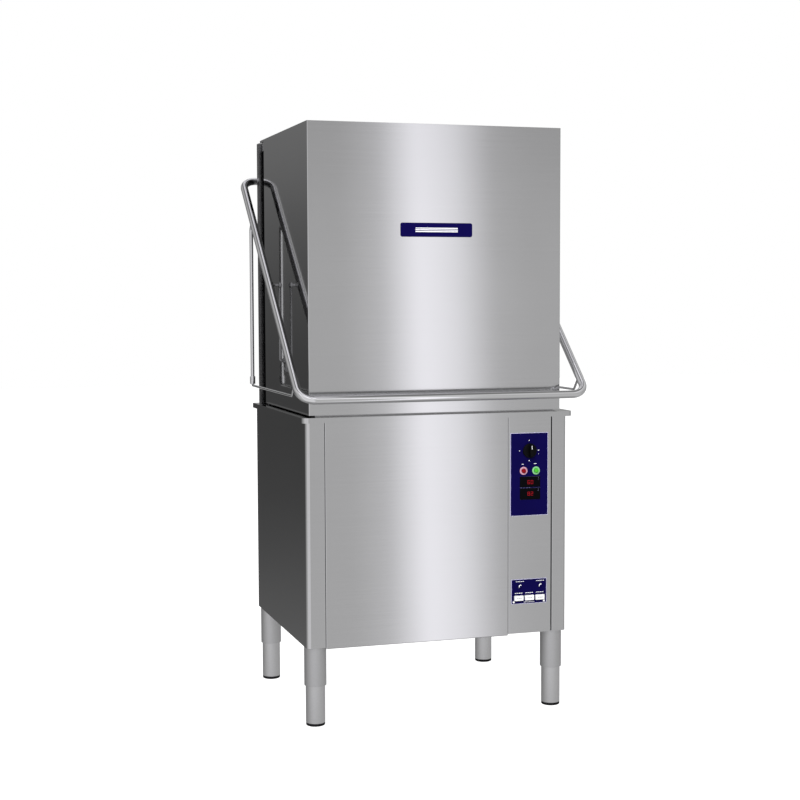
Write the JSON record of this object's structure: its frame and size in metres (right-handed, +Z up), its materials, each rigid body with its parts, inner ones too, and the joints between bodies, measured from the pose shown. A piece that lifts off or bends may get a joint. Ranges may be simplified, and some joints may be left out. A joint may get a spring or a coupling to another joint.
{
  "type": "commercial dishwasher",
  "caption": "Pass-through commercial dishwasher: stainless cabinet on tubular feet, a hood raised by a U-shaped handle with links and springs, wash arms inside.",
  "frame": {"origin": "centre of the bounding box in plan, on the floor plane under the feet", "axes": "+Z up, front (controls and handle bar) faces -Y, +X to the right as seen from the front"},
  "size_m": [0.772, 0.7345, 1.5],
  "materials": {
    "brushed_stainless": "brushed",
    "plain_stainless": "plain mill finish",
    "polished_stainless": "polished",
    "navy_film": "satin film",
    "black_plastic": "satin",
    "display_black": "gloss",
    "red_button": "satin",
    "green_button": "satin",
    "white_plastic": "satin",
    "cast_iron_grey": "painted casting",
    "grey_plastic": "satin",
    "spring_steel": "plain"
  },
  "bodies": {
    "base": {"deck": "brushed_stainless", "side_panel_left": "brushed_stainless", "side_panel_right": "brushed_stainless", "front_panel": "brushed_stainless", "control_cover": "brushed_stainless", "rear_panel": "brushed_stainless", "base_pan": "plain_stainless", "leg_sleeve_front_left": "brushed_stainless", "leg_sleeve_front_right": "brushed_stainless", "leg_sleeve_rear_left": "brushed_stainless", "leg_sleeve_rear_right": "brushed_stainless", "rear_column_left": "brushed_stainless", "rear_column_right": "brushed_stainless", "rear_wall": "plain_stainless", "shaft_bearing_left": "grey_plastic", "shaft_bearing_right": "grey_plastic", "spring_anchor_bar": "plain_stainless", "counterbalance_spring_left": "spring_steel", "counterbalance_spring_right": "spring_steel", "control_fascia": "navy_film", "display_upper": "display_black", "display_lower": "display_black", "dosing_plate": "navy_film", "electrical_box": "grey_plastic", "tank": "plain_stainless", "tank_strainer": "plain_stainless", "lower_spindle": "plain_stainless", "wash_riser": "plain_stainless", "rack_rails": "plain_stainless", "wash_pump": "cast_iron_grey", "booster_tank": "plain_stainless"},
    "hood": {"hood_shell": "brushed_stainless", "hood_roof_liner": "plain_stainless", "hood_badge": "navy_film", "hood_runner_left": "black_plastic", "hood_runner_right": "black_plastic", "hood_bracket_left": "brushed_stainless", "hood_bracket_right": "brushed_stainless"},
    "handle": {"lift_handle": "polished_stainless", "handle_brace_left": "polished_stainless", "handle_brace_right": "polished_stainless", "counterbalance_shaft": "plain_stainless"},
    "link_left": {"link_rod_left": "polished_stainless"},
    "link_right": {"link_rod_right": "polished_stainless"},
    "foot_front_left": {"leg_foot_front_left": "brushed_stainless"},
    "foot_front_right": {"leg_foot_front_right": "brushed_stainless"},
    "foot_rear_left": {"leg_foot_rear_left": "brushed_stainless"},
    "foot_rear_right": {"leg_foot_rear_right": "brushed_stainless"},
    "knob": {"program_knob": "black_plastic"},
    "stop_button_body": {"stop_button": "red_button"},
    "start_button_body": {"start_button": "green_button"},
    "dosing_button_1_body": {"dosing_button_1": "white_plastic"},
    "dosing_button_2_body": {"dosing_button_2": "white_plastic"},
    "dosing_button_3_body": {"dosing_button_3": "white_plastic"},
    "dosing_trimmer_left_body": {"dosing_trimmer_left": "white_plastic"},
    "dosing_trimmer_right_body": {"dosing_trimmer_right": "white_plastic"},
    "lower_wash_arm_body": {"lower_wash_arm": "brushed_stainless"},
    "lower_rinse_arm_body": {"lower_rinse_arm": "brushed_stainless"},
    "upper_rinse_arm_body": {"upper_rinse_arm": "brushed_stainless"},
    "upper_wash_arm_body": {"upper_wash_arm": "brushed_stainless"}
  },
  "joints": [
    {"name": "hood_lift", "type": "slide", "parent": "base", "child": "hood", "axis": [0, 0, 1], "range_m": [0, 0.42]},
    {"name": "handle_pivot", "type": "hinge", "parent": "base", "child": "handle", "pos_m": [0, 0.2903, 1.3915], "axis": [-1, 0, 0], "range_deg": [0, 55.1], "deforming": ["counterbalance_spring_left", "counterbalance_spring_right"]},
    {"name": "link_left_pivot", "type": "hinge", "parent": "handle", "child": "link_left", "pos_m": [-0.35, -0.0397, 1.10124], "axis": [1, 0, 0], "range_deg": [0, 84.8]},
    {"name": "link_right_pivot", "type": "hinge", "parent": "handle", "child": "link_right", "pos_m": [0.35, -0.0397, 1.10124], "axis": [1, 0, 0], "range_deg": [0, 84.8]},
    {"name": "foot_front_left_height", "type": "slide", "parent": "base", "child": "foot_front_left", "axis": [0, 0, 1], "range_m": [-0.045, 0]},
    {"name": "foot_front_right_height", "type": "slide", "parent": "base", "child": "foot_front_right", "axis": [0, 0, 1], "range_m": [-0.045, 0]},
    {"name": "foot_rear_left_height", "type": "slide", "parent": "base", "child": "foot_rear_left", "axis": [0, 0, 1], "range_m": [-0.045, 0]},
    {"name": "foot_rear_right_height", "type": "slide", "parent": "base", "child": "foot_rear_right", "axis": [0, 0, 1], "range_m": [-0.045, 0]},
    {"name": "knob_turn", "type": "hinge", "parent": "base", "child": "knob", "pos_m": [0.2438, -0.2977, 0.675], "axis": [0, 1, 0], "range_deg": [0, 270]},
    {"name": "stop_button_press", "type": "slide", "parent": "base", "child": "stop_button_body", "axis": [0, 1, 0], "range_m": [0, 0.003], "stiffness_N_per_m": 400},
    {"name": "start_button_press", "type": "slide", "parent": "base", "child": "start_button_body", "axis": [0, 1, 0], "range_m": [0, 0.003], "stiffness_N_per_m": 400},
    {"name": "dosing_button_1_press", "type": "slide", "parent": "base", "child": "dosing_button_1_body", "axis": [0, 1, 0], "range_m": [0, 0.0025], "stiffness_N_per_m": 300},
    {"name": "dosing_button_2_press", "type": "slide", "parent": "base", "child": "dosing_button_2_body", "axis": [0, 1, 0], "range_m": [0, 0.0025], "stiffness_N_per_m": 300},
    {"name": "dosing_button_3_press", "type": "slide", "parent": "base", "child": "dosing_button_3_body", "axis": [0, 1, 0], "range_m": [0, 0.0025], "stiffness_N_per_m": 300},
    {"name": "dosing_trimmer_left_turn", "type": "hinge", "parent": "base", "child": "dosing_trimmer_left_body", "pos_m": [0.2173, -0.2977, 0.3245], "axis": [0, 1, 0], "range_deg": [-135, 135]},
    {"name": "dosing_trimmer_right_turn", "type": "hinge", "parent": "base", "child": "dosing_trimmer_right_body", "pos_m": [0.2736, -0.2977, 0.3245], "axis": [0, 1, 0], "range_deg": [-135, 135]},
    {"name": "lower_wash_arm_spin", "type": "hinge", "parent": "base", "child": "lower_wash_arm_body", "pos_m": [0, -0.0247, 0.7372], "axis": [0, 0, 1], "continuous": true},
    {"name": "lower_rinse_arm_spin", "type": "hinge", "parent": "base", "child": "lower_rinse_arm_body", "pos_m": [0, -0.0247, 0.7556], "axis": [0, 0, 1], "continuous": true},
    {"name": "upper_rinse_arm_spin", "type": "hinge", "parent": "base", "child": "upper_rinse_arm_body", "pos_m": [0, -0.0247, 1.2092], "axis": [0, 0, 1], "continuous": true},
    {"name": "upper_wash_arm_spin", "type": "hinge", "parent": "base", "child": "upper_wash_arm_body", "pos_m": [0, -0.0247, 1.2226], "axis": [0, 0, 1], "continuous": true}
  ],
  "couplings": [
    {"joint": "handle_pivot", "follows": "hood_lift", "rad_per_m": 2.2868},
    {"joint": "link_left_pivot", "follows": "hood_lift", "rad_per_m": 3.5185},
    {"joint": "link_right_pivot", "follows": "hood_lift", "rad_per_m": 3.5185}
  ]
}
